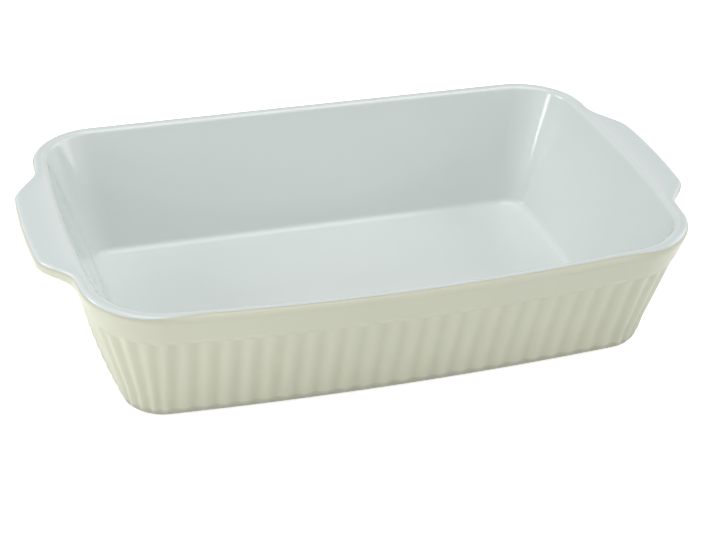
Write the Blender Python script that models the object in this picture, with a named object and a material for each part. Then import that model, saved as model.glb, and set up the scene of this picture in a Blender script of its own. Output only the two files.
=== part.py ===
# Gratin dish: a fired stoneware dish with ribbed walls and two lug handles in one piece,
# a white glaze coat inside and over the rim, and a cream glaze coat outside.
# Metres, +Z up. The origin is on the table under the dish's centre, and its length runs along X.

import math
from collections import namedtuple

import bmesh
import bpy

# Plan at the rim and at the top of the base's rounded edge, over the glaze
RIM_LENGTH = 0.2958
RIM_WIDTH = 0.1923
RIM_CORNER = 0.0313
RIM_SIDE_BOW = 0.0059
BASE_LENGTH = 0.2639
BASE_WIDTH = 0.1621
BASE_CORNER = 0.0176
BASE_SIDE_BOW = 0.0050
END_BOW = 0.0050

# Heights, at the middle of the long sides
RIM_HEIGHT = 0.0633
END_RISE = 0.0034
FLOOR_THICKNESS = 0.0044

# Wall, rim and inner corners. The wall is thicker at its foot, most at the middle of each side and end and
# round the corners.
WALL = 0.0070
WALL_AT_FOOT = 0.0090
RIM_OUTER_ROUND = 0.0030
RIM_INNER_ROUND = 0.0026
FLOOR_FILLET = 0.0040
FLOOR_SIDE_FILL = 0.0060
FLOOR_END_FILL = 0.0046
FLOOR_CORNER_FILL = 0.0040

# Foot
BASE_EDGE_ROUND = 0.0090
FOOT_WIDTH = 0.0060
FOOT_RECESS = 0.0012

# Lug handles, one at each end
LUG_REACH = 0.0105
LUG_TIP_WIDTH = 0.0579
LUG_ROOT_WIDTH = 0.1055
LUG_TIP_BOW = 0.0024
LUG_THICKNESS = 0.0062
LUG_DROP = 0.0011
LUG_LOWER_ROUND = 0.0020
LUG_ROOT_FILLET = 0.0035

# Ribs, from the foot's rounded edge up to the plain band below the rim
BAND_HEIGHT = 0.0148
RIB_PITCH = 0.0095
CORNER_RIB_PITCH = 0.0076
RIB_DEPTH = 0.0012
RIB_STEP = 0.00025
RIB_RUNOUT = 0.0022
RIB_FOOT = 0.0031
RIB_FOOT_RUNOUT = 0.0037

# Glaze coats, and where they stop. The line between them lies further down at the ends: it leaves its place
# at the sides at one distance from mid length and arrives at the other.
GLAZE = 0.0005
GAP = 0.0003
SEAM = 0.0005
GLAZE_LINE = 0.0027
GLAZE_LINE_AT_ENDS = 0.0004
GLAZE_LINE_LEAVES = 0.0920
GLAZE_LINE_ARRIVES = 0.1375
BARE_FOOT = 0.0015

# Fineness of the mesh
POINTS_PER_RIB = 4
SIDE_STEPS = 8
CORNER_STEPS = 8
LUG_TIP_STEPS = 4
LUG_FLANK_STEPS = 8
ROUND_STEPS = 3

DISH_NAME = "gratin_dish"
COAT = GAP + GLAZE
FLOOR_HEIGHT = FOOT_RECESS + FLOOR_THICKNESS

# The rim's two roundings leave a little flat between them however thin the wall is
OUTER_SHARE_OF_WALL = 0.53
INNER_SHARE_OF_WALL = 0.42
OUTER_ROUND = min(RIM_OUTER_ROUND, OUTER_SHARE_OF_WALL * WALL)
INNER_ROUND = min(RIM_INNER_ROUND, INNER_SHARE_OF_WALL * WALL)

# The lug's lower rounding leaves a straight edge between it and the rim's rounding
LOWER_SHARE_OF_LUG = 0.70
LOWER_ROUND = min(LUG_LOWER_ROUND, LOWER_SHARE_OF_LUG * (LUG_THICKNESS - OUTER_ROUND))

# Least radius of a corner in plan, and least width of a lug's slanting flank
LEAST_CORNER = 0.0020
LEAST_FLANK = 0.0020

# The seam between the coats stays on the rim's outer rounding
LINE_SHARE_OF_ROUND = 0.80


def turn_to(line):
    return math.acos(1 - min(line, LINE_SHARE_OF_ROUND * OUTER_ROUND) / OUTER_ROUND)


# Angles on their roundings at which the bare foot ends and the cream coat stops, at the sides and at the ends
BARE_ANGLE = math.asin(1 - BARE_FOOT / BASE_EDGE_ROUND)
CREAM_ANGLES = turn_to(GLAZE_LINE), turn_to(GLAZE_LINE_AT_ENDS)
WHITE_ANGLES = tuple(angle + SEAM / OUTER_ROUND for angle in CREAM_ANGLES)

# How far from either end the middle of a quarter turn lies, for a radius of one
HALF_TURN = 1 - math.sqrt(0.5)

# Share of the lugs' reach at the ring along the middle of their top
LUG_TOP_RING = 0.4

# Share of the fill at the top of the floor's fillet
TOP_OF_FILL = 0.85

# One closed ring of points round the dish. height is above the table at mid length, rise is 1 where the
# ring follows the rim up to the ends, inset is its distance inside the outer wall, lug_height is its height
# at the lugs, and reach is its share of the lugs' reach. rib is its share of the ribs' depth: None on a plain
# ring, and 0 where the ribs run out. lip holds its angles on the rim's outer rounding at the sides and at the
# ends, if it lies there, and fill is its share of what is filled in at the wall's foot.
Level = namedtuple("Level", "height rise inset lug_height reach rib lip fill",
                   defaults=(0, 0.0, None, 0.0, None, None, 0.0))

# One place round the outline: the segment it is on, how far along, and its count of ribs from the start
Station = namedtuple("Station", "segment along ribs")

CORNER_SEGMENTS = (1, 3, 5, 7)
SEGMENTS = range(8)


def clear_scene():
    for item in list(bpy.data.objects):
        bpy.data.objects.remove(item, do_unlink=True)


def mix(low, high, share):
    return low + (high - low) * share


# Outline in plan

def outline_sizes(height, inset=0.0, fill=0.0):
    share = (height - BASE_EDGE_ROUND) / (RIM_HEIGHT - OUTER_ROUND - BASE_EDGE_ROUND)
    share = min(max(share, 0.0), 1.0)
    half_length = mix(BASE_LENGTH, RIM_LENGTH, share) / 2 - inset - fill * FLOOR_END_FILL
    half_width = mix(BASE_WIDTH, RIM_WIDTH, share) / 2 - inset - fill * FLOOR_SIDE_FILL
    corner = max(mix(BASE_CORNER, RIM_CORNER, share) - inset + fill * FLOOR_CORNER_FILL, LEAST_CORNER)
    side_bow = mix(BASE_SIDE_BOW, RIM_SIDE_BOW, share) - fill * FLOOR_SIDE_FILL
    return half_length, half_width, corner, side_bow, END_BOW - fill * FLOOR_END_FILL


def plan_point(station, sizes):
    half_length, half_width, corner, side_bow, end_bow = sizes
    centre_x = half_length - corner
    centre_y = half_width - corner
    quarter = station.segment // 2
    if station.segment in CORNER_SEGMENTS:
        angle = (quarter + station.along) * math.pi / 2
        x = math.copysign(centre_x, math.cos(math.radians(45 + 90 * quarter))) + corner * math.cos(angle)
        y = math.copysign(centre_y, math.sin(math.radians(45 + 90 * quarter))) + corner * math.sin(angle)
    else:
        slide = 2 * station.along - 1
        x, y = ((half_length, slide * centre_y), (-slide * centre_x, half_width),
                (-half_length, -slide * centre_y), (slide * centre_x, -half_width))[quarter]
    bowed_y = y * (1 - side_bow / half_width * (x / half_length) ** 2)
    bowed_x = x * (1 - end_bow / half_length * (y / half_width) ** 2)
    return bowed_x, bowed_y


def segment_length(segment, sizes):
    # Along the outline at one height
    points = [plan_point(Station(segment, step / SIDE_STEPS, 0.0), sizes) for step in range(SIDE_STEPS + 1)]
    return sum(math.dist(point, following) for point, following in zip(points, points[1:]))


def segment_ribs():
    sizes = outline_sizes(RIM_HEIGHT / 2)
    wanted = [segment_length(segment, sizes) / (CORNER_RIB_PITCH if segment in CORNER_SEGMENTS else RIB_PITCH)
              for segment in SEGMENTS]
    total = 2 * round(sum(wanted) / 2)
    counts = [share * total / sum(wanted) for share in wanted]
    return counts, total


RIBS_ON, RIB_COUNT = segment_ribs()


def ribs_before(segment):
    return sum(RIBS_ON[:segment])


def lug_flank():
    root = LUG_ROOT_WIDTH / 2
    return min(LUG_TIP_WIDTH / 2, root - LEAST_FLANK), root


def lug_share(y):
    tip, root = lug_flank()
    along = min(max((root - abs(y)) / (root - tip), 0.0), 1.0)
    return (1 - math.cos(math.pi * along)) / 2


def end_steps():
    # A lug wider than the straight part of its end keeps its steps on that part
    _, half_width, corner, side_bow, _ = outline_sizes(RIM_HEIGHT)
    straight = (half_width - corner) * (1 - side_bow / half_width)
    tip, root = (half / straight for half in lug_flank())
    tip, root = min(tip, 1.0 - LEAST_FLANK / straight), min(root, 1.0)
    half = [tip * step / LUG_TIP_STEPS * 2 for step in range(LUG_TIP_STEPS // 2)]
    half += [mix(tip, root, step / LUG_FLANK_STEPS) for step in range(LUG_FLANK_STEPS)]
    if root < 1.0:
        half.append(root)
    slides = [-1.0] + [-slide for slide in reversed(half[1:])] + half
    return [(slide + 1) / 2 for slide in slides]


def plain_stations():
    stations = []
    for segment in SEGMENTS:
        if segment in CORNER_SEGMENTS:
            steps = [step / CORNER_STEPS for step in range(CORNER_STEPS)]
        elif segment in (2, 6):
            steps = [step / SIDE_STEPS for step in range(SIDE_STEPS)]
        else:
            steps = end_steps()
        for along in steps:
            stations.append(Station(segment, along, ribs_before(segment) + along * RIBS_ON[segment]))
    return stations


def ribbed_stations(points_per_rib):
    # A rib's crest lies at the middle of the +X end, half way along the first segment
    first_crest = RIBS_ON[0] / 2
    marks = sorted((first_crest + step / points_per_rib) % RIB_COUNT
                   for step in range(RIB_COUNT * points_per_rib))
    stations = []
    for ribs in marks:
        segment = max(s for s in SEGMENTS if ribs_before(s) <= ribs)
        stations.append(Station(segment, (ribs - ribs_before(segment)) / RIBS_ON[segment], ribs))
    return stations


PLAIN = plain_stations()
CRESTS = ribbed_stations(1)
RIBBED = ribbed_stations(POINTS_PER_RIB)


# Rings in space

def rim_rise(x):
    return END_RISE * min(abs(x) / (RIM_LENGTH / 2), 1.0) ** 2


def lip_level(level, station):
    # A level on the rim's outer rounding, with the height and inset that it has at this place
    x, _ = plan_point(station, outline_sizes(RIM_HEIGHT))
    along = (abs(x) - GLAZE_LINE_LEAVES) / (GLAZE_LINE_ARRIVES - GLAZE_LINE_LEAVES)
    ends = (1 - math.cos(math.pi * min(max(along, 0.0), 1.0))) / 2
    angle = mix(*level.lip, ends)
    return level._replace(height=RIM_HEIGHT - OUTER_ROUND * (1 - math.sin(angle)),
                          inset=OUTER_ROUND * (1 - math.cos(angle)))


def ring_point(level, station):
    if level.lip:
        level = lip_level(level, station)
    rim_x, rim_y = plan_point(station, outline_sizes(RIM_HEIGHT, level.inset, level.fill))
    lug = lug_share(rim_y)
    lug_height = level.height if level.lug_height is None else level.lug_height
    height = mix(level.height, lug_height, lug)
    x, y = plan_point(station, outline_sizes(height, level.inset, level.fill))
    pull = level.reach * lug
    x, y = mix(x, rim_x, pull), mix(y, rim_y, pull)
    tip_bow = LUG_TIP_BOW * (1 - (2 * rim_y / LUG_ROOT_WIDTH) ** 2)
    x += math.copysign(pull * (LUG_REACH + tip_bow), x)
    return x, y, height + level.rise * rim_rise(rim_x) - LUG_DROP * pull


def rib_recess(station):
    from_crest = station.ribs - RIBS_ON[0] / 2
    return RIB_STEP + RIB_DEPTH * (1 - math.cos(2 * math.pi * from_crest)) / 2


def ring(level):
    stations = PLAIN if level.rib is None else (RIBBED if level.rib else CRESTS)
    points = [ring_point(level, station) for station in stations]
    if not level.rib:
        return stations, points
    recessed = []
    for index, (x, y, z) in enumerate(points):
        ahead, behind = points[(index + 1) % len(points)], points[index - 1]
        tangent_x, tangent_y = ahead[0] - behind[0], ahead[1] - behind[1]
        depth = level.rib * rib_recess(stations[index]) / math.hypot(tangent_x, tangent_y)
        recessed.append((x - tangent_y * depth, y + tangent_x * depth, z))
    return stations, recessed


def lip_levels(start, end, steps):
    # Rings on the rim's outer rounding from one pair of angles to another
    levels = []
    for step in range(steps + 1):
        angles = tuple(mix(low, high, step / steps) for low, high in zip(start, end))
        levels.append(Level(RIM_HEIGHT, rise=1, reach=1.0, lip=angles))
    return levels


def arc(radius, start, end, steps):
    angles = [mix(start, end, step / steps) for step in range(steps + 1)]
    return [(radius * (1 - math.cos(angle)), radius * (1 - math.sin(angle))) for angle in angles]


# Levels of the finished surface, from the middle of the underside, up the outside and down the inside

def foot_levels():
    levels = [Level(FOOT_RECESS, inset=BASE_EDGE_ROUND + FOOT_WIDTH + FOOT_RECESS),
              Level(0.0, inset=BASE_EDGE_ROUND + FOOT_WIDTH)]
    for inset, height in arc(BASE_EDGE_ROUND, math.pi / 2, BARE_ANGLE, 2):
        levels.append(Level(height, inset=inset))
    return levels


def edge_inset(height):
    below = max(BASE_EDGE_ROUND - height, 0.0)
    return BASE_EDGE_ROUND - math.sqrt(BASE_EDGE_ROUND ** 2 - below ** 2)


def outside_levels():
    coat_start = BARE_FOOT + GAP
    ribs_full = RIB_FOOT + RIB_FOOT_RUNOUT
    band_foot = RIM_HEIGHT - BAND_HEIGHT
    levels = [Level(coat_start, inset=edge_inset(coat_start)),
              Level(RIB_FOOT, inset=edge_inset(RIB_FOOT), rib=0.0),
              Level(ribs_full, inset=edge_inset(ribs_full), rib=1.0),
              Level(band_foot - RIB_RUNOUT, rise=1, rib=1.0),
              Level(band_foot, rise=1, rib=0.0)]
    levels += lug_underside_levels(band_foot)
    levels += lip_levels((0.0, 0.0), CREAM_ANGLES, ROUND_STEPS)
    return levels


def lug_underside_levels(band_foot):
    # Each mark is a height at the lugs and a distance out from the wall
    underside = RIM_HEIGHT - LUG_THICKNESS
    lip_foot = RIM_HEIGHT - OUTER_ROUND
    fillet, lower = LUG_ROOT_FILLET, LOWER_ROUND
    marks = ((underside - fillet, 0.0), (underside - HALF_TURN * fillet, HALF_TURN * fillet),
             (underside, fillet), (underside, LUG_REACH - lower),
             (underside + HALF_TURN * lower, LUG_REACH - HALF_TURN * lower), (underside + lower, LUG_REACH))
    levels = []
    for number, (lug_height, out) in enumerate(marks, 1):
        height = mix(band_foot, lip_foot, number / (len(marks) + 1))
        levels.append(Level(height, rise=1, lug_height=lug_height, reach=out / LUG_REACH))
    return levels


def inner_lean():
    run = (RIM_LENGTH - BASE_LENGTH) / 2 + WALL_AT_FOOT - WALL
    return math.atan(run / (RIM_HEIGHT - BASE_EDGE_ROUND))


def inside_levels():
    # The inner rounding runs into the leaning wall, whose line goes on above where the outline stops widening
    lean = inner_lean()
    above = max(OUTER_ROUND - INNER_ROUND * (1 - math.sin(lean)), 0.0)
    crest_edge = WALL - above * math.tan(lean) - INNER_ROUND * math.cos(lean)
    levels = lip_levels(WHITE_ANGLES, (math.pi / 2, math.pi / 2), 2)
    levels.append(Level(RIM_HEIGHT, rise=1, inset=(OUTER_ROUND + crest_edge) / 2, reach=LUG_TOP_RING))
    for step in range(ROUND_STEPS + 1):
        angle = (math.pi / 2 - lean) * step / ROUND_STEPS
        levels.append(Level(RIM_HEIGHT - INNER_ROUND * (1 - math.cos(angle)), rise=1,
                            inset=crest_edge + INNER_ROUND * math.sin(angle)))
    levels += fillet_levels()
    return levels


def fillet_levels():
    lean = inner_lean()
    top = FLOOR_HEIGHT + FLOOR_FILLET * (1 - math.sin(lean))
    levels = []
    for step in range(ROUND_STEPS + 2):
        angle = mix(math.pi / 2 - lean, 0.0, step / (ROUND_STEPS + 1))
        height = FLOOR_HEIGHT + FLOOR_FILLET * (1 - math.cos(angle))
        widening = outline_sizes(top)[0] - outline_sizes(height)[0]
        inset = WALL_AT_FOOT + FLOOR_FILLET * (math.cos(lean) - math.sin(angle)) - widening
        levels.append(Level(height, inset=inset, fill=mix(1.0, TOP_OF_FILL, math.sin(angle))))
    return levels


# Meshes

def stitch(mesh, lower, upper):
    # Triangles between two rings of unlike counts, or quads where their stations agree
    (low_at, low), (high_at, high) = lower, upper
    if low_at is high_at:
        for index in range(len(low)):
            following = (index + 1) % len(low)
            mesh.faces.new((low[index], low[following], high[following], high[index]))
        return
    low_marks = [station.ribs for station in low_at] + [low_at[0].ribs + RIB_COUNT]
    high_marks = [station.ribs for station in high_at] + [high_at[0].ribs + RIB_COUNT]
    i = j = 0
    while i < len(low) or j < len(high):
        low_now, high_now = low[i % len(low)], high[j % len(high)]
        if j == len(high) or (i < len(low) and low_marks[i + 1] <= high_marks[j + 1]):
            i += 1
            mesh.faces.new((low_now, low[i % len(low)], high_now))
        else:
            j += 1
            mesh.faces.new((low_now, high[j % len(high)], high_now))


def loft(mesh, levels):
    rings = []
    for level in levels:
        stations, points = ring(level)
        rings.append((stations, [mesh.verts.new(point) for point in points]))
    for lower, upper in zip(rings, rings[1:]):
        stitch(mesh, lower, upper)
    return rings


def add_object(name, mesh, material, collection):
    data = bpy.data.meshes.new(name)
    mesh.to_mesh(data)
    mesh.free()
    data.materials.append(material)
    data.shade_smooth()
    data.set_sharp_from_angle(angle=math.radians(40))
    item = bpy.data.objects.new(name, data)
    collection.objects.link(item)
    return item


def add_material(name, colour, roughness):
    material = bpy.data.materials.new(name)
    material.use_nodes = True
    surface = material.node_tree.nodes["Principled BSDF"]
    surface.inputs["Base Color"].default_value = (*colour, 1.0)
    surface.inputs["Roughness"].default_value = roughness
    surface.inputs["Metallic"].default_value = 0.0
    return material


def add_body(collection):
    # The fired clay lies one coat inside the finished surface, and is bare under the foot
    mesh = bmesh.new()
    bare = foot_levels()
    rings = loft(mesh, bare + outside_levels() + inside_levels())
    mesh.faces.new(reversed(rings[0][1]))
    mesh.faces.new(rings[-1][1])
    mesh.normal_update()
    moves = [(vert, vert.normal.copy()) for _, verts in rings[len(bare):] for vert in verts]
    for vert, normal in moves:
        vert.co -= normal * COAT
    add_object("stoneware_body", mesh, add_material("bare_stoneware", (0.62, 0.53, 0.40), 0.75), collection)


def thicken(mesh, edges):
    # Doubles an open surface inwards by the glaze's thickness, and walls its open edges
    mesh.normal_update()
    outer = mesh.verts[:]
    twin = bmesh.ops.duplicate(mesh, geom=outer + mesh.edges[:] + mesh.faces[:])["vert_map"]
    inner_faces = {face for vert in outer for face in twin[vert].link_faces}
    bmesh.ops.reverse_faces(mesh, faces=list(inner_faces))
    for vert in outer:
        twin[vert].co = vert.co - vert.normal * GLAZE
    for verts in edges:
        for vert, following in zip(verts, verts[1:] + verts[:1]):
            mesh.faces.new((following, vert, twin[vert], twin[following]))


def add_coat(name, levels, closed, material, collection):
    mesh = bmesh.new()
    rings = [verts for _, verts in loft(mesh, levels)]
    if closed:
        mesh.faces.new(rings[-1])
        thicken(mesh, [rings[0]])
    else:
        thicken(mesh, [rings[0], rings[-1][::-1]])
    add_object(name, mesh, material, collection)


def build():
    clear_scene()
    collection = bpy.data.collections.new(DISH_NAME)
    bpy.context.scene.collection.children.link(collection)
    add_body(collection)
    cream = add_material("cream_glaze", (0.62, 0.60, 0.46), 0.30)
    white = add_material("white_glaze", (0.78, 0.82, 0.80), 0.12)
    add_coat("outer_glaze", outside_levels(), False, cream, collection)
    add_coat("inner_glaze", inside_levels(), True, white, collection)


build()
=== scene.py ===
# Gratin dish: ribbed stoneware with two lugs, white glaze inside, cream glaze outside.
# Metres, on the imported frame: the origin is on the table under the dish, its length runs along X.

import math

import bmesh
import bpy
from mathutils import Matrix, Vector


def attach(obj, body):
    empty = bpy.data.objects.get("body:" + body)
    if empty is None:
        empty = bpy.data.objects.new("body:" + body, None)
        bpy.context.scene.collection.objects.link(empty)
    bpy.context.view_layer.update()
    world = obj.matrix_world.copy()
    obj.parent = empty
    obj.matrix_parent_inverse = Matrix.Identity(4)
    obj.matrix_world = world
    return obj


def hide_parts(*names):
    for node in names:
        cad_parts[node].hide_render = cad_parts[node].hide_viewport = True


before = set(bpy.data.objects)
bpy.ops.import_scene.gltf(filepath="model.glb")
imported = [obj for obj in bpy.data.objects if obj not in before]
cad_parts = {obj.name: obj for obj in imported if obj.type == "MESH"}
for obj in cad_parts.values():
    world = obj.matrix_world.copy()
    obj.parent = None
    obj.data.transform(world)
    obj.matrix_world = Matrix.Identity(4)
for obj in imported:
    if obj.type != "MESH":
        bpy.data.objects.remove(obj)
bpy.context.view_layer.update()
print("frame loaded")


# The dish's own sizes, the same as the solids have

dish = {
    "rimLength": 0.2958,
    "rimWidth": 0.1923,
    "rimCorner": 0.0313,
    "rimSideBow": 0.0059,
    "baseLength": 0.2639,
    "baseWidth": 0.1621,
    "baseCorner": 0.0176,
    "baseSideBow": 0.0050,
    "endBow": 0.0050,
    "rimHeight": 0.0633,     # at the middle of the long sides
    "endRise": 0.0034,       # how much higher the rim is at its ends
    "wall": 0.0070,
    "wallAtFoot": 0.0090,
    "outerRound": 0.0030,    # the rim's two roundings
    "innerRound": 0.0026,
    "floorHeight": 0.0056,
    "floorFillet": 0.0040,
    "sideFill": 0.0060,      # how much further in the floor's edge is at the middle of the sides and ends
    "endFill": 0.0046,
    "cornerFill": 0.0040,    # how much wider the floor's corners are
    "topOfFill": 0.85,       # share of these at the top of the fillet
    "edgeRound": 0.0090,     # the base's rounded edge
    "footWidth": 0.0060,
    "footRecess": 0.0012,
    "footEase": 0.0004,      # bevel at the edges of the foot ring
    "recessEase": 0.0003,
    "floorRings": (0.86, 0.55, 0.55),        # how much each ring of the floor shrinks to the next
}

lugs = {
    "reach": 0.0105,
    "tipWidth": 0.0579,
    "rootWidth": 0.1055,
    "tipBow": 0.0024,
    "thickness": 0.0062,
    "drop": 0.0011,
    "lowerRound": 0.0020,
    "rootFillet": 0.0035,
}

ribs = {
    "count": 92,
    "onEnd": 12.69,          # how many of them are on one end, one corner and one long side
    "onCorner": 4.93,
    "onSide": 23.45,
    "depth": 0.0012,
    "step": 0.00025,         # the crests lie this far inside the band
    "ledge": 0.00060,        # depth of the line under the band, round the ribs' tops
    "ledgeBelow": 0.0005,    # the line's ends, below and above the band's foot
    "ledgeAbove": 0.0007,
    "ledgePool": 0.6,        # how much glaze pools in it, from 0 to 1
    "foot": 0.0031,
    "footRunout": 0.0037,
    "topRunout": 0.0026,
    "bandHeight": 0.0148,
}

coats = {
    "thickness": 0.0005,
    "clayDepth": 0.0008,     # from the finished surface to the clay
    "bareFoot": 0.0015,
    "edgeHeights": (0.0019, 0.0025),         # levels between the bare foot and the ribs
    "footShadeHeight": 0.0080,   # painted shade: the cream darkens below this height, towards the foot
    "footShadeFade": 0.0052,
    "thinOnBand": 0.08,      # how far the colours go towards the painted shade colour, from 0 to 1
    "thinAtSeam": 0.8,
    "thinGrowth": 1.2,       # above 1, the painted shade on the cream grows mostly just before the seam
    "thinAboveSeam": 0.25,
    "thinOnCrest": 0.8,
    "seam": 0.0027,          # from the rim's outline in to where cream meets white, at the sides
    "seamAtEnds": 0.0004,
    "seamLeaves": 0.0920,    # distances from mid length between which it goes from one to the other
    "seamArrives": 0.1375,
    "pointsPerRib": 8,
    "pointsInside": 4,
}


def mix(low, high, share):
    return low + (high - low) * share


def ease(share):
    share = min(max(share, 0.0), 1.0)
    return share * share * (3 - 2 * share)


def steps(count):
    return [number / count for number in range(count + 1)]


# Outline in plan, and the lugs on it

def outlineAt(height, inset, fill=0.0):
    share = (height - dish["edgeRound"]) / (dish["rimHeight"] - dish["outerRound"] - dish["edgeRound"])
    share = min(max(share, 0.0), 1.0)
    sideFill, endFill = fill * dish["sideFill"], fill * dish["endFill"]
    halfLength = mix(dish["baseLength"], dish["rimLength"], share) / 2 - inset - endFill
    halfWidth = mix(dish["baseWidth"], dish["rimWidth"], share) / 2 - inset - sideFill
    corner = max(mix(dish["baseCorner"], dish["rimCorner"], share) - inset + fill * dish["cornerFill"], 0.002)
    sideBow = mix(dish["baseSideBow"], dish["rimSideBow"], share) - sideFill
    return halfLength, halfWidth, corner, sideBow, dish["endBow"] - endFill


def planPoint(place, outline):
    side, along = place[:2]      # sides 0, 2, 4, 6 are straight and 1, 3, 5, 7 are corners
    halfLength, halfWidth, corner, sideBow, endBow = outline
    middleX, middleY = halfLength - corner, halfWidth - corner
    quarter = side // 2
    if side % 2:
        angle = (quarter + along) * math.pi / 2
        x = middleX * (1, -1, -1, 1)[quarter] + corner * math.cos(angle)
        y = middleY * (1, 1, -1, -1)[quarter] + corner * math.sin(angle)
    else:
        slide = 2 * along - 1
        x, y = ((halfLength, slide * middleY), (-slide * middleX, halfWidth),
                (-halfLength, -slide * middleY), (slide * middleX, -halfWidth))[quarter]
    bowedY = y * (1 - sideBow / halfWidth * (x / halfLength) ** 2)
    bowedX = x * (1 - endBow / halfLength * (y / halfWidth) ** 2)
    return bowedX, bowedY


def lugShare(y):
    tip, root = lugs["tipWidth"] / 2, lugs["rootWidth"] / 2
    along = min(max((root - abs(y)) / (root - tip), 0.0), 1.0)
    return (1 - math.cos(math.pi * along)) / 2


def rimRise(x):
    return dish["endRise"] * min(abs(x) / (dish["rimLength"] / 2), 1.0) ** 2


def placesRound(pointsPerRib):
    # Each place is the side it is on, how far along that side, and its distance from a rib's crest in ribs
    lengths = [ribs["onEnd"], ribs["onCorner"], ribs["onSide"], ribs["onCorner"]] * 2
    stretch = ribs["count"] / sum(lengths)
    lengths = [length * stretch for length in lengths]
    starts = [sum(lengths[:side]) for side in range(8)]
    places = []
    for number in range(ribs["count"] * pointsPerRib):
        fromCrest = number / pointsPerRib
        marker = (lengths[0] / 2 + fromCrest) % ribs["count"]
        side = max(side for side in range(8) if starts[side] <= marker)
        places.append((side, (marker - starts[side]) / lengths[side], fromCrest))
    return places


def lipPlace(angles, place):
    # Height and inset on the rim's outer rounding, from its angle at the sides and at the ends
    x, _ = planPoint(place, outlineAt(dish["rimHeight"], 0.0))
    along = (abs(x) - coats["seamLeaves"]) / (coats["seamArrives"] - coats["seamLeaves"])
    angle = mix(*angles, (1 - math.cos(math.pi * min(max(along, 0.0), 1.0))) / 2)
    return (dish["rimHeight"] - dish["outerRound"] * (1 - math.sin(angle)),
            dish["outerRound"] * (1 - math.cos(angle)))


def wallPoint(level, place):
    height, inset, lugHeight = level["height"], level["inset"], level["lugHeight"]
    if level["lip"]:
        height, inset = lipPlace(level["lip"], place)
        lugHeight = height
    rimX, rimY = planPoint(place, outlineAt(dish["rimHeight"], inset, level["fill"]))
    lug = lugShare(rimY)
    height = mix(height, lugHeight, lug)
    x, y = planPoint(place, outlineAt(height, inset, level["fill"]))
    pull = level["reach"] * lug
    x, y = mix(x, rimX, pull), mix(y, rimY, pull)
    tipBow = lugs["tipBow"] * (1 - (2 * rimY / lugs["rootWidth"]) ** 2)
    x += math.copysign(pull * (lugs["reach"] + tipBow), x)
    return Vector((x, y, height + level["rise"] * rimRise(rimX) - lugs["drop"] * pull))


def level(height, inset=0.0, rise=0.0, lugHeight=None, reach=0.0, ribShare=0.0, ledge=0.0, lip=None,
          fill=0.0, thin=0.0):
    return {"height": height, "inset": inset, "rise": rise, "reach": reach, "ribShare": ribShare, "lip": lip,
            "ledge": ledge, "fill": fill, "thin": thin, "lugHeight": height if lugHeight is None else lugHeight}


# Levels of the finished surface, from the foot up the outside, over the rim and down to the floor

def edgeInset(height):
    below = max(dish["edgeRound"] - height, 0.0)
    return dish["edgeRound"] - math.sqrt(dish["edgeRound"] ** 2 - below ** 2)


def paintedFootShade(height):
    # Painted shade: the cream darkens towards the foot, where shade falls near the table
    return ease(min(max((coats["footShadeHeight"] - height) / coats["footShadeFade"], 0.0), 1.0))


def footLevels():
    radius = dish["edgeRound"]
    bareAngle = math.asin(1 - coats["bareFoot"] / radius)
    inner = radius + dish["footWidth"] + dish["footRecess"]
    levels = [level(dish["footRecess"], inner + dish["footEase"]),
              level(dish["footRecess"] - dish["recessEase"], inner),
              level(dish["recessEase"], radius + dish["footWidth"]),
              level(0.0, radius + dish["footWidth"] - dish["footEase"])]
    for share in steps(5):
        angle = mix(math.pi / 2, bareAngle, share)
        levels.append(level(radius * (1 - math.sin(angle)), radius * (1 - math.cos(angle))))
    return levels


def ribbedLevels():
    foot, full = ribs["foot"], ribs["foot"] + ribs["footRunout"]
    bandFoot = dish["rimHeight"] - ribs["bandHeight"]
    top = bandFoot - ribs["topRunout"]
    levels = [level(height, edgeInset(height), thin=paintedFootShade(height))
              for height in (coats["bareFoot"], *coats["edgeHeights"])]
    for share in steps(6)[:-1]:
        height = mix(foot, full, share)
        levels.append(level(height, edgeInset(height), ribShare=ease(share), thin=paintedFootShade(height)))
    for share in steps(6):
        levels.append(level(mix(full, top, share), rise=share, ribShare=1.0))
    for share in steps(6)[1:]:
        height = mix(top, bandFoot - ribs["ledgeBelow"], share)
        levels.append(level(height, rise=1.0, ribShare=1.0 - ease(share), ledge=ease(share)))
    for share in steps(4)[1:]:
        height = mix(bandFoot - ribs["ledgeBelow"], bandFoot + ribs["ledgeAbove"], share)
        levels.append(level(height, rise=1.0, ledge=1.0 - ease(share), thin=share * coats["thinOnBand"]))
    return levels


def lugUnderLevels():
    underside = dish["rimHeight"] - lugs["thickness"]
    bandFoot = dish["rimHeight"] - ribs["bandHeight"] + ribs["ledgeAbove"]
    lipFoot = dish["rimHeight"] - dish["outerRound"]
    fillet, lower, reach = lugs["rootFillet"], lugs["lowerRound"], lugs["reach"]
    marks = []                   # height at the lug and distance out from the wall
    for share in steps(4):
        angle = share * math.pi / 2
        marks.append((underside - fillet * (1 - math.sin(angle)), fillet * (1 - math.cos(angle))))
    for share in steps(4)[1:-1]:
        marks.append((underside, mix(fillet, reach - lower, share)))
    for share in steps(4):
        angle = share * math.pi / 2
        marks.append((underside + lower * (1 - math.cos(angle)), reach - lower * (1 - math.sin(angle))))
    levels = []
    for number, (lugHeight, out) in enumerate(marks, 1):
        height = mix(bandFoot, lipFoot, number / (len(marks) + 1))
        levels.append(level(height, rise=1.0, lugHeight=lugHeight, reach=out / reach, thin=coats["thinOnBand"]))
    return levels


def rimLevels(start, end, thins):
    # Along the rim's outer rounding, with an angle at the sides and one at the ends for either edge
    return [level(dish["rimHeight"], rise=1.0, reach=1.0, thin=thin,
                  lip=(mix(start[0], end[0], share), mix(start[1], end[1], share)))
            for share, thin in zip(steps(len(thins) - 1), thins)]


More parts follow.
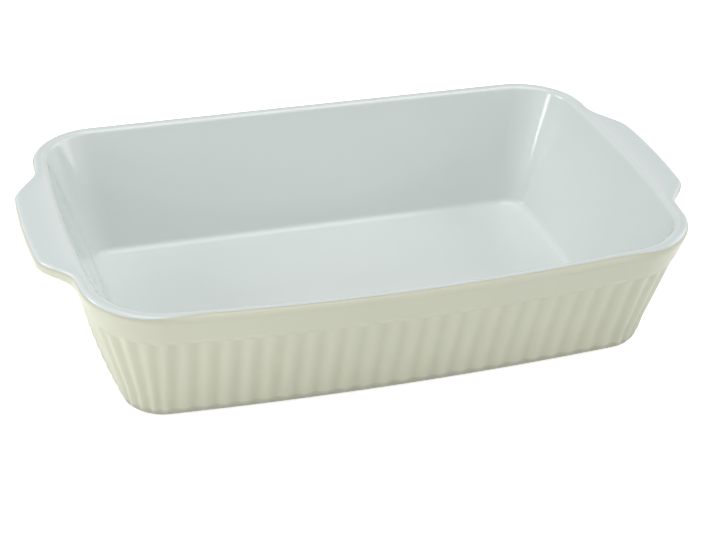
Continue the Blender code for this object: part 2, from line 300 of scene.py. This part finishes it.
def insideLevels():
    levels = []
    run = (dish["rimLength"] - dish["baseLength"]) / 2 + dish["wallAtFoot"] - dish["wall"]
    lean = math.atan(run / (dish["rimHeight"] - dish["edgeRound"]))
    rounding, radius = dish["innerRound"], dish["floorFillet"]
    above = max(dish["outerRound"] - rounding * (1 - math.sin(lean)), 0.0)
    crestEdge = dish["wall"] - above * math.tan(lean) - rounding * math.cos(lean)
    # Painted shade: the white darkens across the crest and the lug tops, less towards the inner edge
    for share in steps(6)[1:]:   # across the crest, and across the top of each lug
        levels.append(level(dish["rimHeight"], mix(dish["outerRound"], crestEdge, share), rise=1.0,
                            reach=1.0 - share, thin=coats["thinOnCrest"] * (1.0 - share ** 2)))
    for share in steps(8)[1:]:   # the rim's inner rounding, down to the leaning wall
        angle = share * (math.pi / 2 - lean)
        levels.append(level(dish["rimHeight"] - rounding * (1 - math.cos(angle)),
                            crestEdge + rounding * math.sin(angle), rise=1.0))
    wallFoot = dish["floorHeight"] + radius * (1 - math.sin(lean))
    wallTop = dish["rimHeight"] - dish["outerRound"]
    for share in steps(9)[:-1]:
        levels.append(level(mix(wallTop, wallFoot, share), mix(dish["wall"], dish["wallAtFoot"], share),
                            rise=1.0 - share, fill=share * mix(1.0, dish["topOfFill"], math.cos(lean))))
    for share in steps(10):      # the fillet between wall and floor
        angle = mix(math.pi / 2 - lean, 0.0, share)
        height = dish["floorHeight"] + radius * (1 - math.cos(angle))
        widening = outlineAt(wallFoot, 0.0)[0] - outlineAt(height, 0.0)[0]
        levels.append(level(height, dish["wallAtFoot"] + radius * (math.cos(lean) - math.sin(angle)) - widening,
                            fill=mix(1.0, dish["topOfFill"], math.sin(angle))))
    return levels


seamAngles = [math.acos(1 - coats[key] / dish["outerRound"]) for key in ("seam", "seamAtEnds")]
# Painted shade on the cream, growing towards the seam on the rim's outer rounding
creamPaintedShades = [mix(coats["thinOnBand"], coats["thinAtSeam"], ease(share) ** coats["thinGrowth"])
              for share in steps(8)]
# Painted shade on the white, from above the seam to the crest
whitePaintedShades = [mix(coats["thinAboveSeam"], coats["thinOnCrest"], share) for share in steps(4)]
outsideLevels = ribbedLevels() + lugUnderLevels() + rimLevels((0.0, 0.0), seamAngles, creamPaintedShades)
whiteLevels = rimLevels(seamAngles, (math.pi / 2, math.pi / 2), whitePaintedShades) + insideLevels()


# Surfaces: one ring of points, extruded from level to level

def ribRecess(now, fromCrest):
    valley = (1 - math.cos(2 * math.pi * fromCrest)) / 2
    return now["ribShare"] * (ribs["step"] + ribs["depth"] * valley) + now["ledge"] * ribs["ledge"], valley


def shapeRing(verts, mesh, places, now):
    numberOf = mesh.verts.layers.int["place"]
    pooling = mesh.verts.layers.float["pooling"]
    thinning = mesh.verts.layers.float["thinning"]
    points = [wallPoint(now, place) for place in places]
    for vert in verts:
        number = vert[numberOf]
        before, after = points[number - 1], points[(number + 1) % len(points)]
        outward = Vector((after.y - before.y, before.x - after.x, 0.0)).normalized()
        recess, valley = ribRecess(now, places[number][2])
        vert.co = points[number] - outward * recess
        vert[pooling] = now["ribShare"] * valley + ribs["ledgePool"] * now["ledge"]
        # painted shade: how far the glaze's colour goes towards its darker shade colour
        vert[thinning] = now["thin"]


def extrudeRing(mesh, edges):
    made = bmesh.ops.extrude_edge_only(mesh, edges=edges)["geom"]
    verts = [item for item in made if isinstance(item, bmesh.types.BMVert)]
    edges = [item for item in made if isinstance(item, bmesh.types.BMEdge) and item.is_boundary]
    return verts, edges


def loftWall(levels, pointsPerRib):
    mesh = bmesh.new()
    numberOf = mesh.verts.layers.int.new("place")
    mesh.verts.layers.float.new("pooling")
    mesh.verts.layers.float.new("thinning")
    places = placesRound(pointsPerRib)
    circle = bmesh.ops.create_circle(mesh, cap_ends=False, radius=dish["rimLength"] / 2, segments=len(places))
    verts = circle["verts"]
    for number, vert in enumerate(verts):
        vert[numberOf] = number
    edges = mesh.edges[:]
    rings = [verts]
    shapeRing(verts, mesh, places, levels[0])
    for now in levels[1:]:
        verts, edges = extrudeRing(mesh, edges)
        shapeRing(verts, mesh, places, now)
        rings.append(verts)
    return mesh, rings, edges


def closeFloor(mesh, edges, height):
    # Rings that shrink towards the middle, and a cap
    for scale in dish["floorRings"]:
        verts, edges = extrudeRing(mesh, edges)
        bmesh.ops.scale(mesh, vec=(scale, scale, 1.0), verts=verts)
        for vert in verts:
            vert.co.z = height
    bmesh.ops.contextual_create(mesh, geom=edges)


def finishPiece(mesh, name, material, nodes, thickness=None):
    bmesh.ops.recalc_face_normals(mesh, faces=mesh.faces[:])
    data = bpy.data.meshes.new(name)
    mesh.to_mesh(data)
    mesh.free()
    data.materials.append(material)
    data.shade_smooth()
    piece = bpy.data.objects.new(name, data)
    bpy.context.scene.collection.objects.link(piece)
    if thickness:
        shell = piece.modifiers.new("coatThickness", "SOLIDIFY")
        shell.thickness = thickness
        shell.offset = -1.0
        shell.use_rim = True
        shell.use_quality_normals = True
    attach(piece, "root")
    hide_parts(*nodes)
    return piece


# Materials

def addNode(tree, kind, place, settings=None, **inputs):
    node = tree.nodes.new(kind)
    node.location = (place[0] * 200, place[1] * -160)
    for name, value in (settings or {}).items():
        setattr(node, name, value)
    for name, value in inputs.items():
        node.inputs[name.replace("_", " ")].default_value = value
    return node


def seenOrMirrored(tree, column):
    # 1 where the camera sees something directly or in a mirroring glaze, otherwise 0
    seen = addNode(tree, "ShaderNodeLightPath", (column, 0))
    either = addNode(tree, "ShaderNodeMath", (column + 1, 0), {"operation": "MAXIMUM"})
    tree.links.new(seen.outputs["Is Camera Ray"], either.inputs[0])
    tree.links.new(seen.outputs["Is Glossy Ray"], either.inputs[1])
    return either.outputs["Value"]


def makeGlazeSkin():
    # Clouded colour, painted shade mixed in by an attribute, glaze that pools in valleys, and a faint ripple
    group = bpy.data.node_groups.new("glazeSkin", "ShaderNodeTree")
    face = group.interface
    for name, kind in (("Colour", "NodeSocketColor"), ("Pool Colour", "NodeSocketColor"),
                       ("Painted Shade Colour", "NodeSocketColor"), ("Pooling", "NodeSocketFloat"),
                       ("Thinning", "NodeSocketFloat"), ("Cloud", "NodeSocketFloat"),
                       ("Roughness", "NodeSocketFloat"), ("Ripple", "NodeSocketFloat")):
        face.new_socket(name, in_out="INPUT", socket_type=kind)
    for name, kind in (("Colour", "NodeSocketColor"), ("Roughness", "NodeSocketFloat"),
                       ("Normal", "NodeSocketVector")):
        face.new_socket(name, in_out="OUTPUT", socket_type=kind)
    join = group.links.new
    given = addNode(group, "NodeGroupInput", (0, 0))
    result = addNode(group, "NodeGroupOutput", (9, 0))
    spot = addNode(group, "ShaderNodeTexCoord", (0, 4))

    cloud = addNode(group, "ShaderNodeTexNoise", (1, 1), Scale=16.0, Detail=3.0, Roughness=0.5)
    grain = addNode(group, "ShaderNodeTexNoise", (1, 3), Scale=260.0, Detail=2.0, Roughness=0.6)
    broad = addNode(group, "ShaderNodeTexNoise", (1, 5), Scale=70.0, Detail=1.0, Roughness=0.4)
    peel = addNode(group, "ShaderNodeTexNoise", (1, 7), Scale=620.0, Detail=1.0, Roughness=0.5)
    for texture in (cloud, grain, broad, peel):
        join(spot.outputs["Object"], texture.inputs["Vector"])

    # Pooling mask, broken up a little so that it doesn't follow the ribs exactly
    broken = addNode(group, "ShaderNodeMapRange", (3, 0), From_Min=0.3, From_Max=0.7, To_Min=0.75, To_Max=1.1)
    join(broad.outputs["Fac"], broken.inputs["Value"])
    pool = addNode(group, "ShaderNodeMath", (4, 0), {"operation": "MULTIPLY", "use_clamp": True})
    join(given.outputs["Pooling"], pool.inputs[0])
    join(broken.outputs["Result"], pool.inputs[1])
    pooled = addNode(group, "ShaderNodeMix", (5, 0), {"data_type": "RGBA"})
    join(pool.outputs["Value"], pooled.inputs["Factor"])
    join(given.outputs["Colour"], pooled.inputs["A"])
    join(given.outputs["Pool Colour"], pooled.inputs["B"])
    # Painted shade: towards a darker colour by the given amount
    thinned = addNode(group, "ShaderNodeMix", (5, 1), {"data_type": "RGBA"})
    join(given.outputs["Thinning"], thinned.inputs["Factor"])
    join(pooled.outputs["Result"], thinned.inputs["A"])
    join(given.outputs["Painted Shade Colour"], thinned.inputs["B"])

    # Cloud: lighter and darker by the given amount
    swing = addNode(group, "ShaderNodeMapRange", (3, 2), From_Min=0.3, From_Max=0.7, To_Min=-1.0, To_Max=1.0)
    join(cloud.outputs["Fac"], swing.inputs["Value"])
    amount = addNode(group, "ShaderNodeMath", (4, 2), {"operation": "MULTIPLY_ADD"})
    join(swing.outputs["Result"], amount.inputs[0])
    join(given.outputs["Cloud"], amount.inputs[1])
    amount.inputs[2].default_value = 1.0
    shade = addNode(group, "ShaderNodeHueSaturation", (6, 1))
    join(amount.outputs["Value"], shade.inputs["Value"])
    join(thinned.outputs["Result"], shade.inputs["Color"])
    join(shade.outputs["Color"], result.inputs["Colour"])

    rougher = addNode(group, "ShaderNodeMapRange", (3, 3), From_Min=0.3, From_Max=0.7, To_Min=0.85, To_Max=1.2)
    join(grain.outputs["Fac"], rougher.inputs["Value"])
    rough = addNode(group, "ShaderNodeMath", (6, 3), {"operation": "MULTIPLY", "use_clamp": True})
    join(given.outputs["Roughness"], rough.inputs[0])
    join(rougher.outputs["Result"], rough.inputs[1])
    join(rough.outputs["Value"], result.inputs["Roughness"])

    finer = addNode(group, "ShaderNodeMath", (4, 6), {"operation": "MULTIPLY_ADD"})
    join(peel.outputs["Fac"], finer.inputs[0])
    finer.inputs[1].default_value = 0.12
    join(broad.outputs["Fac"], finer.inputs[2])
    height = addNode(group, "ShaderNodeMath", (5, 6), {"operation": "MULTIPLY"})
    join(finer.outputs["Value"], height.inputs[0])
    join(given.outputs["Ripple"], height.inputs[1])
    bump = addNode(group, "ShaderNodeBump", (7, 5), Strength=1.0, Distance=0.001)
    join(height.outputs["Value"], bump.inputs["Height"])
    join(bump.outputs["Normal"], result.inputs["Normal"])
    return group


def makeGlaze(name, group, look):
    material = bpy.data.materials.new(name)
    material.use_nodes = True
    tree = material.node_tree
    surface = tree.nodes["Principled BSDF"]
    skin = addNode(tree, "ShaderNodeGroup", (-2, 0), {"node_tree": group})
    for socket, value in look.items():
        skin.inputs[socket].default_value = value
    for row, name in enumerate(("pooling", "thinning")):
        painted = addNode(tree, "ShaderNodeAttribute", (-4, row * 2), {"attribute_name": name})
        tree.links.new(painted.outputs["Fac"], skin.inputs[name.capitalize()])
    tree.links.new(skin.outputs["Colour"], surface.inputs["Base Color"])
    tree.links.new(skin.outputs["Roughness"], surface.inputs["Roughness"])
    tree.links.new(skin.outputs["Normal"], surface.inputs["Normal"])
    surface.inputs["IOR"].default_value = 1.5
    return material


def makeClay(look):
    material = bpy.data.materials.new("bareClay")
    material.use_nodes = True
    tree = material.node_tree
    surface = tree.nodes["Principled BSDF"]
    spot = addNode(tree, "ShaderNodeTexCoord", (-6, 0))
    grit = addNode(tree, "ShaderNodeTexNoise", (-5, 0), Scale=900.0, Detail=3.0, Roughness=0.65)
    stain = addNode(tree, "ShaderNodeTexNoise", (-5, 2), Scale=30.0, Detail=2.0)
    for texture in (grit, stain):
        tree.links.new(spot.outputs["Object"], texture.inputs["Vector"])
    colours = addNode(tree, "ShaderNodeValToRGB", (-4, 0))
    colours.color_ramp.elements[0].position = 0.35
    colours.color_ramp.elements[0].color = (*look["grit"], 1.0)
    colours.color_ramp.elements[1].position = 0.55
    colours.color_ramp.elements[1].color = (*look["clay"], 1.0)
    tree.links.new(grit.outputs["Fac"], colours.inputs["Fac"])
    toned = addNode(tree, "ShaderNodeMix", (-2, 0), {"data_type": "RGBA", "blend_type": "MULTIPLY"}, Factor=0.5)
    patches = addNode(tree, "ShaderNodeMapRange", (-4, 2), From_Min=0.3, From_Max=0.7, To_Min=0.75, To_Max=1.0)
    tree.links.new(stain.outputs["Fac"], patches.inputs["Value"])
    tree.links.new(colours.outputs["Color"], toned.inputs["A"])
    tree.links.new(patches.outputs["Result"], toned.inputs["B"])
    tree.links.new(toned.outputs["Result"], surface.inputs["Base Color"])
    bump = addNode(tree, "ShaderNodeBump", (-2, 2), Strength=0.6, Distance=0.0002)
    tree.links.new(grit.outputs["Fac"], bump.inputs["Height"])
    tree.links.new(bump.outputs["Normal"], surface.inputs["Normal"])
    surface.inputs["Roughness"].default_value = look["roughness"]
    return material


glazeSkin = makeGlazeSkin()
whiteGlaze = makeGlaze("whiteGlaze", glazeSkin, {
    "Colour": (0.723, 0.773, 0.757, 1.0), "Pool Colour": (0.68, 0.75, 0.73, 1.0),
    # painted shade across the crest and the lug tops
    "Painted Shade Colour": (0.632, 0.705, 0.708, 1.0),
    "Cloud": 0.012, "Roughness": 0.10, "Ripple": 0.08})
creamGlaze = makeGlaze("creamGlaze", glazeSkin, {
    "Colour": (0.760, 0.778, 0.624, 1.0), "Pool Colour": (0.695, 0.715, 0.556, 1.0),
    # painted shade on the rim's outer rounding, the band, under the lugs and towards the foot
    "Painted Shade Colour": (0.50, 0.50, 0.39, 1.0),
    "Cloud": 0.015, "Roughness": 0.37, "Ripple": 0.22})
bareClay = makeClay({"clay": (0.58, 0.48, 0.36), "grit": (0.40, 0.31, 0.22), "roughness": 0.8})
print("materials made")


# Pieces

mesh, rings, edges = loftWall(outsideLevels, coats["pointsPerRib"])
finishPiece(mesh, "creamCoat", creamGlaze, ["outer_glaze"], coats["thickness"])
print("cream coat made")

mesh, rings, edges = loftWall(whiteLevels, coats["pointsInside"])
closeFloor(mesh, edges, dish["floorHeight"])
finishPiece(mesh, "whiteCoat", whiteGlaze, ["inner_glaze"], coats["thickness"])
print("white coat made")

bareLevels = footLevels()
mesh, rings, edges = loftWall(bareLevels + outsideLevels[1:] + whiteLevels[1:], coats["pointsInside"])
closeFloor(mesh, edges, dish["floorHeight"])
bmesh.ops.contextual_create(mesh, geom=[edge for edge in mesh.edges if edge.is_boundary])
bmesh.ops.recalc_face_normals(mesh, faces=mesh.faces[:])
mesh.normal_update()
bare = {vert for ring in rings[:len(bareLevels)] for vert in ring}
moves = [(vert, vert.normal.copy()) for vert in mesh.verts if vert not in bare]
for vert, normal in moves:
    vert.co -= normal * coats["clayDepth"]
finishPiece(mesh, "clayBody", bareClay, ["stoneware_body"])
print("clay body made")


# Floor and background

studio = {
    "floorSize": 6.0,
    "floorColour": (0.80, 0.80, 0.80, 1.0),
    "floorLift": 0.80,       # brings the lit floor to white for the camera and keeps the shadow
    "ambient": 0.0,          # light from all round; the lamps give it all
    "lampAim": (0.0, 0.0, 0.03),
}

mesh = bmesh.new()
bmesh.ops.create_grid(mesh, x_segments=4, y_segments=4, size=studio["floorSize"] / 2)
data = bpy.data.meshes.new("floorSheet")
mesh.to_mesh(data)
mesh.free()
floorSheet = bpy.data.objects.new("floorSheet", data)
bpy.context.scene.collection.objects.link(floorSheet)

paper = bpy.data.materials.new("whitePaper")
paper.use_nodes = True
tree = paper.node_tree
surface = tree.nodes["Principled BSDF"]
surface.inputs["Base Color"].default_value = studio["floorColour"]
surface.inputs["Roughness"].default_value = 0.9
surface.inputs["Specular IOR Level"].default_value = 0.0
lift = addNode(tree, "ShaderNodeMath", (-1, 0), {"operation": "MULTIPLY"})
tree.links.new(seenOrMirrored(tree, -3), lift.inputs[0])
lift.inputs[1].default_value = studio["floorLift"]
surface.inputs["Emission Color"].default_value = (1.0, 1.0, 1.0, 1.0)
tree.links.new(lift.outputs["Value"], surface.inputs["Emission Strength"])
data.materials.append(paper)

world = bpy.data.worlds.new("studioAir")
bpy.context.scene.world = world
world.use_nodes = True
tree = world.node_tree
air = tree.nodes["Background"]
strength = addNode(tree, "ShaderNodeMapRange", (-3, 0), From_Min=0.0, From_Max=1.0,
                   To_Min=studio["ambient"], To_Max=1.0)
tree.links.new(seenOrMirrored(tree, -5), strength.inputs["Value"])
tree.links.new(strength.outputs["Result"], air.inputs["Strength"])
air.inputs["Color"].default_value = (1.0, 1.0, 1.0, 1.0)
print("floor and background made")


# Lamps: each is a soft box, aimed at the dish. azimuth is from the front towards the left, and size is
# its width and height. One that isn't mirrored lights the dish without showing in the glaze

def towards(azimuth, elevation):
    # Direction from the dish, with the azimuth in degrees from the front towards the right
    azimuth, elevation = math.radians(azimuth), math.radians(elevation)
    return Vector((math.sin(azimuth) * math.cos(elevation), -math.cos(azimuth) * math.cos(elevation),
                   math.sin(elevation)))


softBoxes = {
    "topBox": {"azimuth": 0, "elevation": 89, "distance": 1.5, "size": (1.2, 1.2), "power": 13.7},
    "frontLeftBox": {"azimuth": 30, "elevation": 20, "distance": 1.5, "size": (1.2, 1.2), "power": 6.7,
                     "mirrored": False},
    "rightBox": {"azimuth": 270, "elevation": 20, "distance": 1.5, "size": (1.2, 1.2), "power": 9.4},
    "frontRightBox": {"azimuth": 300, "elevation": 20, "distance": 1.5, "size": (1.2, 1.2), "power": 2.5},
    "leftStrip": {"azimuth": 78, "elevation": 16, "distance": 1.4, "size": (0.19, 0.19), "power": 1.1},
    "leftBox": {"azimuth": 108, "elevation": 25, "distance": 1.4, "size": (0.5, 0.5), "power": 5.8},
    "nearBox": {"azimuth": 60, "elevation": 20, "distance": 0.45, "size": (0.2, 0.2), "power": 0.08},
}

for name, box in softBoxes.items():
    lamp = bpy.data.lights.new(name, "AREA")
    lamp.shape = "RECTANGLE"
    lamp.size, lamp.size_y = box["size"]
    lamp.energy = box["power"]
    back = towards(-box["azimuth"], box["elevation"])
    holder = bpy.data.objects.new(name, lamp)
    holder.location = Vector(studio["lampAim"]) + back * box["distance"]
    holder.rotation_euler = back.to_track_quat("Z", "Y").to_euler()
    holder.visible_glossy = box.get("mirrored", True)
    bpy.context.scene.collection.objects.link(holder)
print("lamps made")


# Camera, where the photograph was taken from

shot = {
    "azimuth": -19.3554, "elevation": 30.7053, "roll": 2.7772, "distance": 0.92083,
    "aim": (0.00147, 0.00004, 0.0306),
    "lens": 94.084, "shift": (0.003536, -0.030650),
}

back, roll = towards(shot["azimuth"], shot["elevation"]), math.radians(shot["roll"])
right = Vector((0.0, 0.0, 1.0)).cross(back).normalized()
upward = back.cross(right)
tiltedRight = right * math.cos(roll) + upward * math.sin(roll)
tiltedUp = upward * math.cos(roll) - right * math.sin(roll)
turned = Matrix((tiltedRight, tiltedUp, back)).transposed().to_4x4()
view = bpy.data.cameras.new("photoView")
view.sensor_width = 36.0
view.lens = shot["lens"]
view.shift_x, view.shift_y = shot["shift"]
view.clip_start, view.clip_end = 0.05, 50.0
camera = bpy.data.objects.new("photoView", view)
camera.matrix_world = Matrix.Translation(Vector(shot["aim"]) + back * shot["distance"]) @ turned
bpy.context.scene.collection.objects.link(camera)
bpy.context.scene.camera = camera
bpy.context.scene.view_settings.view_transform = "Standard"
print("camera placed")


bpy.context.view_layer.update()
